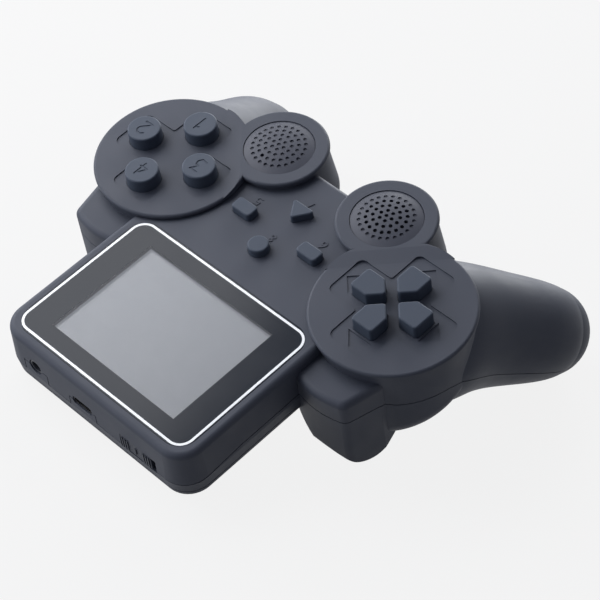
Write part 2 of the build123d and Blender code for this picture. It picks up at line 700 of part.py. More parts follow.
def grille(open_rings):
    # a domed cap on the player's right; its holes go through as far out as the open rings
    radius, level = grille_ball()
    edge = post(pod_x, pod_y, pod_top() + seat_gap + grille_edge, grille_r, grille_edge)
    dome = Pos(pod_x, pod_y, level) * Sphere(radius)
    cap = edge + (dome & post(pod_x, pod_y, level + radius, grille_r, grille_crown))
    cap -= Pos(pod_x, pod_y, level) * Sphere(radius - grille_thick)
    holes = []
    for ring in range(grille_rings + 1):
        reach = ring * grille_pitch
        face = level + (radius**2 - reach**2)**(1 / 2)
        deep = 2 * grille_crown + grille_thick if ring <= open_rings else dummy_hole_deep
        for i in range(max(6 * ring, 1)):
            turn = 2 * pi * i / max(6 * ring, 1)
            place = Pos(pod_x + reach * cos(turn), pod_y + reach * sin(turn), face - deep)
            holes.append(place * Cylinder(grille_hole_r, deep + overrun, align=both))
    return cap - holes


def vent_place():
    reach, turn = vent_ring * grille_pitch, radians(vent_turn)
    return pod_x + reach * cos(turn), pod_y + reach * sin(turn), pod_top()


def vent():
    return Pos(*vent_place()) * Cylinder(vent_r, 2 * (pod_rise + grille_crown + wall))


def speaker():
    top = pod_top() - wall - seat_gap
    rim = post(0, 0, top, speaker_r, speaker_rim)
    basket_tall = (speaker_deep - speaker_rim) / 2
    basket = Cone(speaker_magnet_r, speaker_r - speaker_rim, basket_tall, align=both)
    basket = Pos(0, 0, top - speaker_rim - basket_tall) * basket
    magnet = post(0, 0, top - speaker_rim - basket_tall, speaker_magnet_r, basket_tall)
    hollow = Cone(speaker_cap_r, speaker_cone_r, speaker_cone_deep, align=both)
    cap = post(0, 0, top - speaker_cone_deep / 2, speaker_cap_r, speaker_cone_deep)
    body = rim + basket + magnet - Pos(0, 0, top - speaker_cone_deep) * hollow + cap
    return Pos(-pod_x, pod_y) * body


# Switch, sockets, boards and what is on them

def knob():
    face_y = front_face(knob_depth) - knob_inset
    back_y = house_front - wall - seat_gap
    cap = rounded_bar(knob_x, knob_depth, knob_w, knob_tall, soft_edge, back_y, face_y)
    flange_w, flange_tall = knob_w + 2 * knob_flange, knob_tall + 2 * knob_flange_rise
    flange_back = back_y - knob_flange_thick
    flange = rounded_bar(knob_x, knob_depth, flange_w, flange_tall, soft_edge, flange_back, back_y)
    ribs = []
    for side in sides:
        for i in range(knob_ribs):
            x = knob_x + side * (knob_w / 2 - knob_rib_end - i * knob_rib_pitch)
            rib = Box(knob_rib_w, 2 * knob_rib_rise, knob_tall - 2 * soft_edge)
            ribs.append(Pos(x, face_y, -knob_depth) * rib)
    ribs.append(Pos(knob_x, face_y, -knob_depth) * Box(knob_rib_w, 2 * knob_rib_rise, knob_tall / 2))
    pocket_w, pocket_tall = switch_lever[0] + 2 * slide_gap, switch_lever[2] + 2 * slide_gap
    pocket = Pos(knob_x, back_y - knob_flange_thick, -lever_depth) * Box(
        pocket_w, 2 * (lever_bite + slide_gap), pocket_tall)
    return cap + flange + ribs - pocket


def lever():
    tip = house_front - wall - seat_gap - knob_flange_thick + lever_bite
    return Pos(knob_x, tip - switch_lever[1] / 2, -lever_depth) * Box(*switch_lever)


def slide_switch():
    w, deep, tall = switch_body
    front = house_front - wall - seat_gap - knob_flange_thick - slide_gap
    body = block(knob_x - knob_travel / 2, front - deep / 2, -board_top + seat_gap + tall, w, deep, tall)
    slot_w = switch_lever[0] + knob_travel + 2 * slide_gap
    slot = Pos(knob_x - knob_travel / 2, front, -lever_depth) * Box(
        slot_w, 2 * (switch_lever[1] - lever_bite + slide_gap), switch_lever[2] + 2 * slide_gap)
    return body - slot


def usb_socket():
    mouth = front_face(usb_depth) - port_inset
    body = rounded_bar(usb_x, usb_depth, usb_w, usb_tall, usb_round, mouth - usb_deep, mouth)
    body -= rounded_bar(
        usb_x, usb_depth, usb_w - 2 * usb_skin, usb_tall - 2 * usb_skin, usb_round - usb_skin,
        mouth - usb_deep + usb_back, mouth + overrun)
    tongue_y = mouth - usb_deep + usb_tongue_l / 2 + usb_back / 2
    return body + Pos(usb_x, tongue_y, -usb_depth) * Box(usb_tongue_w, usb_tongue_l + usb_back, usb_tongue)


def av_jack():
    w, deep, tall = jack_body
    mouth, front = front_face(jack_depth) - port_inset, house_front - wall - port_gap
    body = Pos(jack_x, front - deep / 2, -jack_depth) * Box(w, deep, tall)
    ears = block(jack_x, front - deep / 2, -board_top + seat_gap + jack_ear_thick,
                 w + 2 * jack_ear, deep - 2 * jack_ear, jack_ear_thick)
    barrel = rod(jack_x, jack_depth, jack_barrel_r, front - wall, mouth)
    bore = rod(jack_x, jack_depth, jack_bore_r, mouth - jack_bore_length, mouth + overrun)
    return body + ears + barrel - bore


def main_board():
    front = house_front - wall - board_gap
    back = middle_back + wall + board_gap
    outline = Pos(0, (front + board_meet) / 2) * Rectangle(2 * board_house_half, front - board_meet)
    outline += Pos(0, (board_meet + back) / 2) * Rectangle(2 * board_middle_half, board_meet - back)
    for side in sides:
        outline += Pos(side * field_x, field_y) * Circle(board_wing_r)
    for side in sides:
        outline -= [Pos(side * x, y) * Circle(boss_r + head_gap) for x, y in screw_places]
    outline -= [Pos(x, y) * Circle(small_screw_r + shank_gap) for x, y in post_places]
    jack_back = house_front - wall - port_gap - jack_body[1]
    notch_w, notch_l = jack_body[0] + 2 * port_gap, 2 * (front - jack_back + port_gap)
    outline -= Pos(jack_x, front) * Rectangle(notch_w, notch_l)
    return Pos(0, 0, -board_top - board_thick) * extrude(outline, board_thick)


def on_board(x, y, w, h, tall):
    return block(x, y, -board_top + seat_gap + tall, w, h, tall)


def lcd_panel():
    return block(panel_shift, 0, -wall - seat_gap, panel_w, panel_h, panel_thick)


def lcd_ribbon():
    top = -wall - 2 * seat_gap - panel_thick
    foot = -board_top + seat_gap
    radius = (top - foot) / 2
    start = board_house_half - flex_land
    bend = flex_out - radius
    outer = Pos((start + bend) / 2, (top + foot) / 2) * Rectangle(bend - start, 2 * radius)
    outer += Pos(bend, (top + foot) / 2) * Circle(radius)
    inner = Pos((start + bend) / 2, (top + foot) / 2) * Rectangle(bend - start, 2 * (radius - flex_thick))
    inner += Pos(bend, (top + foot) / 2) * Circle(radius - flex_thick)
    return extrude(Plane.XZ * (outer - inner), flex_w / 2, both=True)


def cushions():
    top = -wall - 2 * seat_gap - panel_thick
    tall = board_top - seat_gap + top
    return [block(cushion_x, side * cushion_y, top, cushion_w, cushion_h, tall) for side in sides]


def membrane(outline, x, y, domes):
    # a rubber sheet on the board with a hollow dome under each key, drawn as when the keys are down
    foot = -board_top + seat_gap
    tall = -dome_top - foot - pad_thick
    body = Pos(x, y, foot) * extrude(outline, pad_thick)
    hollow_tall = tall + pad_thick - dome_wall
    for dome_x, dome_y in domes:
        body += Pos(dome_x, dome_y, foot + pad_thick) * Cone(dome_foot_r, dome_r, tall, align=both)
    for dome_x, dome_y in domes:
        hollow = Cone(dome_foot_r - dome_wall, dome_r - dome_wall, hollow_tall, align=both)
        body -= Pos(dome_x, dome_y, foot) * hollow
    return body


# Battery, door and screws

def battery():
    top = -house_depth + door_thick + seat_gap + battery_thick
    return battery_block(0, top, battery_thick)


def battery_contacts():
    x = -battery_w / 2 - seat_gap
    top = -board_top - board_thick - seat_gap
    blades = []
    for i in range(contacts):
        y = battery_y + (i - (contacts - 1) / 2) * contact_pitch
        upright = block(x - contact_thick / 2, y, top, contact_thick, contact_w, contact_drop)
        blades.append(upright + block(x - contact_run / 2, y, top, contact_run, contact_w, contact_thick))
    return blades


def battery_door():
    body = Pos(0, 0, -house_depth) * extrude(door_outline(0), door_thick)
    front = battery_y + battery_h / 2 + door_margin
    for side in sides:
        body += block(side * tongue_x, front, -house_depth + door_thick,
                      tongue_w, 2 * tongue_long, tongue_thick)
    y = door_screw_y()
    body -= post(0, y, 0, small_screw_r + shank_gap, 2 * house_depth)
    body -= post(0, y, -house_depth + door_thick - door_web, small_head_r + head_gap, house_depth)
    for i in range(grooves):
        groove_y = front - battery_h / 4 - i * groove_pitch
        body -= block(0, groove_y, -house_depth + groove_deep, groove_long, groove_w, 2 * groove_deep)
    return body


def screw(x, y, seat, radius, head_r, head_tall, length, slot):
    # a pan-head screw that points up, its head's upper face at the seat
    slot_w, slot_l, slot_deep = slot
    shank = Pos(x, y, seat) * Cylinder(radius, length, align=both)
    head = post(x, y, seat, head_r, head_tall)
    cuts = [block(x, y, seat - head_tall + slot_deep, w, h, 2 * slot_deep)
            for w, h in ((slot_w, slot_l), (slot_l, slot_w))]
    return shank + head - cuts


def rear_screws():
    slot = (cross_slot_w, cross_slot_l, cross_slot_deep)
    screws = []
    for x, y in screw_places:
        seat = -seam_at(x, y) - screw_under - seat_gap
        for side in sides:
            screws.append(screw(side * x, y, seat, screw_r, screw_head_r, screw_head_tall,
                                screw_under + screw_bite, slot))
    return screws


small_slot = (small_slot_w, small_slot_l, small_slot_deep)


def board_screws():
    seat = -board_top - board_thick - seat_gap
    length = small_bite + board_thick
    return [screw(x, y, seat, small_screw_r, small_head_r, small_head_tall, length, small_slot)
            for x, y in post_places]


def door_screw():
    seat = -house_depth + door_thick - door_web - seat_gap
    return screw(0, door_screw_y(), seat, small_screw_r, small_head_r, small_head_tall,
                 door_bite + door_web, small_slot)


# The console as pieces

def all_pieces():
    outer = casing_half(0)
    bosses = [post(x, y, field_top(), boss_r, 2 * house_half) & outer for x, y in screw_places]
    half = outer - casing_half(wall) + bosses
    right_holes, left_holes = field_holes()
    marks = [arrow_mark(turn) for turn in arrows.values()]
    field_roof, deck_roof = wall - field_top(), wall
    pieces = {
        "front_casing": front_casing(half),
        "rear_casing": rear_casing(half, outer),
        "face_key_plate": plate() - right_holes,
        "arrow_key_plate": mirrored(plate()) - left_holes - marks,
        "speaker_grille": mirrored(grille(grille_rings - 1)),
        "closed_grille": grille(-1) - vent(),
        "screen_lens": block(0, 0, 0, lens_w, lens_h, lens_thick - seat_gap, lens_corner),
        "lcd_panel": lcd_panel(),
        "lcd_ribbon": lcd_ribbon(),
        "lcd_cushions": cushions(),
        "main_board": main_board(),
        "game_chip": on_board(0, chip_y, chip_side, chip_side, chip_thick),
        "memory_chip": on_board(memory_x, 0, memory_w, memory_h, memory_thick),
        "power_switch_knob": knob(),
        "power_switch_lever": lever(),
        "power_switch_body": slide_switch(),
        "usb_socket": usb_socket(),
        "av_jack": av_jack(),
        "speaker": speaker(),
        "battery": battery(),
        "battery_contacts": battery_contacts(),
        "battery_door": battery_door(),
        "door_screw": door_screw(),
        "rear_screws": rear_screws(),
        "board_screws": board_screws(),
    }
    for number, x, y in round_places():
        mark = Pos(0, 0, key_top - digit_deep) * extrude(
            digit(number, digit_wide, digit_tall, digit_line), digit_deep + overrun)
        pieces[f"face_key_{number}"] = Pos(x, y) * (key(Circle(key_r), field_roof, key_top) - mark)
    for name, turn in arrows.items():
        pieces[name] = arrow_place(turn) * key(arrow_outline(), field_roof, key_top)
    for name, (x, y, outline) in small_keys.items():
        pieces[name] = Pos(x, y) * key(outline, deck_roof, small_top)
    round_domes = [(x, y) for number, x, y in round_places()]
    arrow_domes = [(arrow_place(turn).position.X, arrow_place(turn).position.Y) for turn in arrows.values()]
    small_domes = [(x, y) for x, y, outline in small_keys.values()]
    pieces["face_membrane"] = membrane(Circle(pad_r), field_x, field_y, round_domes)
    pieces["arrow_membrane"] = membrane(Circle(pad_r), -field_x, field_y, arrow_domes)
    small_sheet = Rectangle(small_pad_w, small_pad_h)
    pieces["small_membrane"] = membrane(small_sheet, 0, small_pad_y, small_domes)
    return pieces


# Set down on the table

def lean():
    # the tilt that brings the shoulder lobes down level with the grip ends
    forms = [lobe(0), field_drum(0), house(0)]
    low, high = 0, tilt_limit
    for i in range(halvings):
        tilt = (low + high) / 2
        turn = Rot(X=-tilt)
        front = min((turn * form).bounding_box().min.Z for form in forms)
        rear = (turn * Pos(*grip_end)).position.Z - grip_end_r
        if front > rear:
            low = tilt
        else:
            high = tilt
    return (low + high) / 2


def placement(pieces):
    turn = Rot(X=-lean())
    boxes = [(turn * solid).bounding_box() for solid in pieces.values()]
    front, back = max(box.max.Y for box in boxes), min(box.min.Y for box in boxes)
    foot = min(box.min.Z for box in boxes)
    return Pos(0, -(front + back) / 2, -foot) * turn


pieces = {name: Part() + piece for name, piece in all_pieces().items()}
place = placement(pieces)
os.makedirs("parts", exist_ok=True)
for name, solid in pieces.items():
    export_step(place * solid, f"parts/{name}.step")
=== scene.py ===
import json
import math

import bpy
from mathutils import Matrix, Vector


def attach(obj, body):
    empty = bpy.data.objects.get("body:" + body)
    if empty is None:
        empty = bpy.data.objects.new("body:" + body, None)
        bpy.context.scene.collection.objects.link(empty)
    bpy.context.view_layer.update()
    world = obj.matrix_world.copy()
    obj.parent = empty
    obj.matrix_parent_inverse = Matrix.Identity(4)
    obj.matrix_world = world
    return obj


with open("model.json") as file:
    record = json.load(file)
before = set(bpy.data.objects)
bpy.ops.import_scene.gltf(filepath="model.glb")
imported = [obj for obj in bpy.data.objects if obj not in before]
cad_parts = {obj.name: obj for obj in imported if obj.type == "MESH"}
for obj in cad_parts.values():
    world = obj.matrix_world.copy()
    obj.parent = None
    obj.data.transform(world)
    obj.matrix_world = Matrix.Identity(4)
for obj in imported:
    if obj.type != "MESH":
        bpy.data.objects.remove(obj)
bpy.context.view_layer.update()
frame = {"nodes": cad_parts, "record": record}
nodes = frame["nodes"]
millimetre = 0.001
fullTurn = 2 * math.pi
print("frame loaded:", len(nodes), "nodes")


# The console's own level axes, along its deck: X to the player's right, Y towards the sockets, Z up
mounts = {mount["name"]: mount for mount in frame["record"]["mounts"]}
deckUp = Vector(mounts["screen_face"]["axis"]).normalized()
deckFront = Vector(mounts["av_jack"]["axis"]).normalized()
deckRight = deckFront.cross(deckUp)
deckLean = math.atan2(deckUp.y, deckUp.z)
deck = Matrix((deckRight, deckFront, deckUp)).transposed().to_4x4()
deck.translation = Vector(mounts["screen_face"]["pos_m"])
stillBody = "console"


# Shader maths: a wire is a socket that can be added, multiplied and compared

def operator(kind, turned=False):
    def apply(self, *others):
        values = (*others, self) if turned else (self, *others)
        return self.paint.node("ShaderNodeMath", {"operation": kind}, dict(enumerate(values)))[0]
    return apply


class Wire:
    def __init__(self, paint, socket):
        self.paint = paint
        self.socket = socket

    __add__ = operator("ADD")
    __sub__ = operator("SUBTRACT")
    __rsub__ = operator("SUBTRACT", True)
    __mul__ = operator("MULTIPLY")
    __lt__ = operator("LESS_THAN")
    __gt__ = operator("GREATER_THAN")
    __abs__ = operator("ABSOLUTE")
    __pow__ = operator("POWER")
    high = operator("MAXIMUM")
    wave = operator("SINE")


class Outputs:
    def __init__(self, paint, node):
        self.paint = paint
        self.made = node

    def __getitem__(self, key):
        return Wire(self.paint, self.made.outputs[key])


class Paint:
    # one material, or the world's nodes, with every node made by one method
    def __init__(self, name, tree=None):
        self.material = None
        if tree is None:
            self.material = bpy.data.materials.new(name)
            self.material.use_nodes = True
            tree = self.material.node_tree
        self.tree = tree
        self.tree.nodes.clear()

    def node(self, kind, settings=None, inputs=None):
        made = self.tree.nodes.new(kind)
        for key, value in (settings or {}).items():
            setattr(made, key, value)
        for key, value in (inputs or {}).items():
            socket = made.inputs[key]
            if isinstance(value, Wire):
                self.tree.links.new(value.socket, socket)
            elif isinstance(value, (int, float)) or len(value) == len(socket.default_value):
                socket.default_value = value
            else:
                socket.default_value = (*value, 1.0)
        return Outputs(self, made)

    def mix(self, share, first, second):
        # a colour between two others
        inputs = {0: share, 6: first, 7: second}
        return self.node("ShaderNodeMix", {"data_type": "RGBA"}, inputs)[2]

    def place(self):
        return self.node("ShaderNodeTexCoord")["Object"]

    def deckPlace(self):
        # the console's own level axes, in metres
        back = deck.inverted()
        inputs = {"Vector": self.place(), "Location": tuple(back.translation), "Rotation": (deckLean, 0, 0)}
        return self.node("ShaderNodeMapping", {"vector_type": "POINT"}, inputs)["Vector"]

    def split(self, vector):
        parts = self.node("ShaderNodeSeparateXYZ", None, {0: vector})
        return parts[0], parts[1], parts[2]

    def noise(self, size, detail=2.0, rough=0.5, vector=None):
        # a cloudy pattern from 0 to 1 whose blobs are about this many metres across
        inputs = {"Vector": vector or self.place(), "Scale": 1 / size, "Detail": detail, "Roughness": rough}
        return self.node("ShaderNodeTexNoise", None, inputs)["Fac"]

    def cells(self, size, vector=None):
        inputs = {"Vector": vector or self.place(), "Scale": 1 / size}
        return self.node("ShaderNodeTexVoronoi", None, inputs)["Distance"]

    def bump(self, height, distance, normal=None):
        inputs = {"Distance": distance, "Height": height}
        if normal:
            inputs["Normal"] = normal
        return self.node("ShaderNodeBump", None, inputs)[0]

    def surface(self, **inputs):
        named = {key.replace("_", " "): value for key, value in inputs.items()}
        return self.node("ShaderNodeBsdfPrincipled", None, named)[0]

    def finish(self, shader):
        self.node("ShaderNodeOutputMaterial", None, {"Surface": shader})
        return self.material


def between(paint, value, low, high, start=0.0, stop=1.0):
    # carries a value from start..stop to low..high
    inputs = {0: value, 1: start, 2: stop, 3: low, 4: high}
    return paint.node("ShaderNodeMapRange", {"clamp": True}, inputs)[0]


def edgeOf(x, y, half):
    # how far a place lies outside a rectangle of these half sizes in millimetres, and less than 0 inside it
    halfX, halfY = half
    return (abs(x) - halfX * millimetre).high(abs(y) - halfY * millimetre)


def tinted(paint, colour, change, amount):
    # the colour made darker and lighter by a pattern from 0 to 1
    dark = tuple(part * (1 - amount) for part in colour)
    light = tuple(part * (1 + amount) for part in colour)
    return paint.mix(change, dark, light)


# Materials

casingLook = {
    "colour": (0.052, 0.058, 0.077), "roughness": 0.55, "specular": 0.2,
    "grain": 0.00022, "grainDepth": 0.000012, "clouds": 0.011, "variation": 0.05, "polish": 0.05,
}
keyLook = dict(casingLook, colour=(0.049, 0.061, 0.086), roughness=0.54, variation=0.04)
grilleLook = dict(casingLook, colour=(0.058, 0.062, 0.081), roughness=0.5)
knobLook = dict(casingLook, colour=(0.046, 0.051, 0.067), roughness=0.54)


rampLook = {
    # the slope between a plate's two discs, in millimetres; its shading is eased towards the flat faces
    "middle": (43.98, -45.73), "towards": (-0.7206, -0.6934), "start": 13.0, "stop": 25.0,
    "low": 1.58, "high": 2.62, "upright": 0.8, "ease": 0.75,
}


def easedNormal(paint):
    # the surface's own direction, turned towards the deck's on the slope
    normal = paint.node("ShaderNodeNewGeometry")["Normal"]
    x, y, z = paint.split(paint.deckPlace())
    middle, towards = rampLook["middle"], rampLook["towards"]
    along = (abs(x) - middle[0] * millimetre) * towards[0] + (y - middle[1] * millimetre) * towards[1]
    start, stop, low, high = (rampLook[key] * millimetre for key in ("start", "stop", "low", "high"))
    inside = (along > start) * (along < stop) * (z > low) * (z < high)
    facing = paint.node("ShaderNodeVectorMath", {"operation": "DOT_PRODUCT"}, {0: normal, 1: tuple(deckUp)})
    share = inside * (facing["Value"] > rampLook["upright"]) * rampLook["ease"]
    inputs = {0: share, 4: normal, 5: tuple(deckUp)}
    mixed = paint.node("ShaderNodeMix", {"data_type": "VECTOR"}, inputs)[1]
    return paint.node("ShaderNodeVectorMath", {"operation": "NORMALIZE"}, {0: mixed})[0]


def flatNormal(paint):
    # without smoothing between faces, for small sharp ribs
    return paint.node("ShaderNodeNewGeometry")["True Normal"]


def mouldedPlastic(name, look, facing=None):
    # fine spark-eroded grain, with a faint cloudiness and slight polish where hands and dust have been
    paint = Paint(name)
    grain = paint.noise(look["grain"], 3.0, 0.6)
    clouds = paint.noise(look["clouds"], 3.0, 0.55)
    colour = tinted(paint, look["colour"], clouds * 0.7 + grain * 0.3, look["variation"])
    smooth, rough = look["roughness"] - look["polish"], look["roughness"] + look["polish"]
    roughness = between(paint, clouds, smooth, rough, 0.3, 0.7)
    shader = paint.surface(
        Base_Color=colour, Roughness=roughness, Specular_IOR_Level=look["specular"],
        Normal=paint.bump(grain, look["grainDepth"], facing(paint) if facing else None))
    return paint.finish(shader)


lensLook = {
    # half sizes, depths and widths in millimetres
    "print": (0.014, 0.018, 0.027), "printDepth": 0.4, "printBlur": 0.08,
    "window": (0.02, 0.021, 0.023), "windowHalf": (24.60, 18.50), "windowTint": 0.10,
    "roughness": 0.12, "smear": 0.06, "specular": 0.14,
    "line": (0.93, 0.94, 0.95), "lineHalf": (33.8, 24.5), "lineWidth": 0.74, "lineCorner": 4.6,
    "lineLevel": 0.005, "lineThick": 0.02,
}


def lensSheet():
    # clear sheet, printed dark underneath all round the display
    paint = Paint("lensSheet")
    x, y, z = paint.split(paint.deckPlace())
    blur = lensLook["printBlur"] * millimetre
    printed = between(paint, edgeOf(x, y, lensLook["windowHalf"]), 0.0, 1.0, -blur, blur)
    smear = paint.noise(0.018, 3.0, 0.6)
    colour = paint.mix(printed, lensLook["window"], lensLook["print"])
    skin = z > -lensLook["printDepth"] * millimetre
    # the print casts no shadow on the display, which lies right behind it
    opaque = printed * (1 - paint.node("ShaderNodeLightPath")["Is Shadow Ray"])
    alpha = between(paint, opaque, lensLook["windowTint"], 1.0) * skin
    clear, smeared = lensLook["roughness"], lensLook["roughness"] + lensLook["smear"]
    roughness = between(paint, smear, clear, smeared, 0.35, 0.7)
    shader = paint.surface(
        Base_Color=colour, Roughness=roughness, Alpha=alpha, Specular_IOR_Level=lensLook["specular"])
    return paint.finish(shader)


displayLook = {
    "lit": (0.285, 0.297, 0.320), "border": (0.125, 0.130, 0.145), "roughness": 0.3,
    "half": (24.6, 18.5), "borderHalf": (26.6, 20.4), "blur": 0.06,
    "thick": 0.08, "level": -1.3, "corner": 0.6, "pixel": 0.204, "specular": 0.4,
}


def displayGlass():
    # grey film of an unlit display, with painted light that makes it a little lighter towards +X and -Y,
    # and a hint of rows and columns
    paint = Paint("displayGlass")
    x, y, z = paint.split(paint.deckPlace())
    blur = displayLook["blur"] * millimetre
    border = between(paint, edgeOf(x, y, displayLook["half"]), 0.0, 1.0, -blur, blur)
    # painted light: the film's grey is scaled from 0.94 towards -X and +Y up to 1.05 towards +X and -Y, the
    # side the key lamp stands on
    paintedLightFall = between(paint, x - y, 0.94, 1.05, -0.035, 0.035)
    streaks = between(paint, paint.noise(0.004, 1.0, 0.4), 0.985, 1.015, 0.3, 0.7)
    columns = x * (fullTurn / (displayLook["pixel"] * millimetre))
    rows = between(paint, columns.wave(), 0.992, 1.008, -1.0, 1.0)
    lit = paint.node("ShaderNodeVectorMath", {"operation": "SCALE"}, {
        0: displayLook["lit"], "Scale": paintedLightFall * streaks * rows})[0]
    colour = paint.mix(border, lit, displayLook["border"])
    shader = paint.surface(
        Base_Color=colour, Roughness=displayLook["roughness"],
        Specular_IOR_Level=displayLook["specular"])
    return paint.finish(shader)


def brushedMetal(name, colour, roughness, metallic=1.0):
    # sheet or wire with fine draw marks along X and a few darker stains
    paint = Paint(name)
    stretch = paint.node("ShaderNodeMapping", {"vector_type": "POINT"}, {
        "Vector": paint.place(), "Scale": (0.08, 1.0, 1.0)})["Vector"]
    marks = paint.noise(0.00012, 3.0, 0.6, stretch)
    stains = paint.noise(0.003, 3.0, 0.6)
    tone = tinted(paint, colour, stains * 0.6 + marks * 0.4, 0.14)
    rough = between(paint, marks, roughness - 0.07, roughness + 0.1, 0.25, 0.75)
    shader = paint.surface(
        Base_Color=tone, Metallic=metallic, Roughness=rough, Normal=paint.bump(marks, 0.000004))
    return paint.finish(shader)


def smoothPlastic(name, colour, roughness, variation=0.08, clouds=0.004, bumps=0.000006):
    paint = Paint(name)
    pattern = paint.noise(clouds, 4.0, 0.6)
    fine = paint.noise(0.00018, 2.0, 0.5)
    rough = between(paint, pattern, roughness - 0.05, roughness + 0.07, 0.3, 0.7)
    shader = paint.surface(
        Base_Color=tinted(paint, colour, pattern * 0.6 + fine * 0.4, variation), Roughness=rough,
        Normal=paint.bump(fine, bumps))
    return paint.finish(shader)


boardLook = {
    "mask": (0.012, 0.105, 0.045), "track": (0.022, 0.17, 0.070), "edge": (0.30, 0.24, 0.11),
    "pitch": 0.0021, "level": -0.0108, "halfThick": 0.00056,
}


def circuitBoard():
    # green mask over copper tracks that run along and across in patches, with a bare edge
    paint = Paint("circuitBoard")
    x, y, z = paint.split(paint.deckPlace())
    patches = paint.noise(0.012, 1.0, 0.3)
    turn = patches > 0.5
    along = (x * (fullTurn / boardLook["pitch"])).wave()
    across = (y * (fullTurn / boardLook["pitch"])).wave()
    tracks = (along * turn + across * (1 - turn)) > 0.35
    fine = paint.noise(0.0004, 3.0, 0.6)
    copper = between(paint, tracks * (patches > 0.32), 0.0, 1.0)
    tone = paint.mix(copper, boardLook["mask"], boardLook["track"])
    side = abs(z - boardLook["level"]) < boardLook["halfThick"]
    tone = paint.mix(side * (fine > 0.62), tone, boardLook["edge"])
    shader = paint.surface(Base_Color=tone, Roughness=0.34, Normal=paint.bump(copper, 0.00002))
    return paint.finish(shader)


ribbonLook = {"film": (0.42, 0.17, 0.03), "conductor": (0.26, 0.09, 0.02), "pitch": 0.0005}


def ribbonFilm():
    # amber film with fine dark conductors along it
    paint = Paint("ribbonFilm")
    x, y, z = paint.split(paint.deckPlace())
    lines = between(paint, (y * (fullTurn / ribbonLook["pitch"])).wave(), 0.0, 1.0, -0.2, 0.2)
    tone = paint.mix(lines, ribbonLook["film"], ribbonLook["conductor"])
    shader = paint.surface(Base_Color=tone, Roughness=0.28, Normal=paint.bump(lines, 0.00001))
    return paint.finish(shader)


def foamRubber(name, colour):
    paint = Paint(name)
    pores = paint.cells(0.0005)
    tone = tinted(paint, colour, between(paint, pores, 0.0, 1.0, 0.1, 0.6), 0.3)
    shader = paint.surface(Base_Color=tone, Roughness=0.92, Normal=paint.bump(pores, 0.0001))
    return paint.finish(shader)


speakerLook = {
    "basket": (0.013, 0.013, 0.014), "paper": (0.030, 0.029, 0.027),
    "place": (-0.02146, -0.0674), "coneRadius": 0.0082, "coneLevel": -0.0024, "ringPitch": 0.0014,
}


def speakerParts():
    # black basket round a paper cone with a smooth cap
    paint = Paint("speakerParts")
    x, y, z = paint.split(paint.deckPlace())
    middleX, middleY = speakerLook["place"]
    acrossX = x - middleX
    acrossY = y - middleY
    away = (acrossX * acrossX + acrossY * acrossY) ** 0.5
    cone = (away < speakerLook["coneRadius"]) * (z > speakerLook["coneLevel"])
    rings = (away * (fullTurn / speakerLook["ringPitch"])).wave()
    fibres = paint.noise(0.0003, 4.0, 0.7)
    paper = tinted(paint, speakerLook["paper"], fibres, 0.35)
    tone = paint.mix(cone, speakerLook["basket"], paper)
    rough = between(paint, cone, 0.42, 0.85)
    shader = paint.surface(Base_Color=tone, Roughness=rough, Normal=paint.bump(rings * cone, 0.00008))
    return paint.finish(shader)


socketLook = {
    "shell": (0.16, 0.16, 0.17), "tongue": (0.012, 0.012, 0.014),
    "place": (0.0034, -0.0089), "half": (0.0033, 0.0006),
}


def socketSteel():
    # pressed shell round a black tongue
    paint = Paint("socketSteel")
    x, y, z = paint.split(paint.deckPlace())
    middleX, middleZ = socketLook["place"]
    halfX, halfZ = socketLook["half"]
    inner = (abs(x - middleX) < halfX) * (abs(z - middleZ) < halfZ)
    marks = paint.noise(0.0006, 3.0, 0.6)
    tone = paint.mix(inner, socketLook["shell"], socketLook["tongue"])
    rough = between(paint, marks, 0.24, 0.42, 0.3, 0.7)
    shader = paint.surface(Base_Color=tone, Metallic=1 - inner, Roughness=rough)
    return paint.finish(shader)


looks = {
    "casing": mouldedPlastic("casingPlastic", casingLook),
    "plates": mouldedPlastic("platePlastic", casingLook, easedNormal),
    "keys": mouldedPlastic("keyPlastic", keyLook),
    "grille": mouldedPlastic("grillePlastic", grilleLook),
    "knob": mouldedPlastic("knobPlastic", knobLook, flatNormal),
    "lens": lensSheet(),
    "display": displayGlass(),
    "panelSteel": brushedMetal("panelSteel", (0.45, 0.46, 0.48), 0.34),
    "ribbon": ribbonFilm(),
    "foam": foamRubber("cushionFoam", (0.022, 0.022, 0.024)),
    "board": circuitBoard(),
    "chip": smoothPlastic("chipResin", (0.018, 0.018, 0.020), 0.5, 0.2, 0.0012),
    "socketSteel": socketSteel(),
    "jackPlastic": smoothPlastic("jackPlastic", (0.036, 0.039, 0.050), 0.45, 0.12),
    "switchBody": brushedMetal("switchSteel", (0.42, 0.42, 0.43), 0.3),
    "speaker": speakerParts(),
    "battery": brushedMetal("batterySleeve", (0.50, 0.52, 0.55), 0.36, 0.9),
    "brass": brushedMetal("contactBrass", (0.72, 0.50, 0.20), 0.26),
    "screwSteel": brushedMetal("screwSteel", (0.30, 0.30, 0.32), 0.34),
    "membrane": smoothPlastic("membraneRubber", (0.42, 0.42, 0.40), 0.6, 0.06, 0.006),
}
print("materials made:", len(looks))


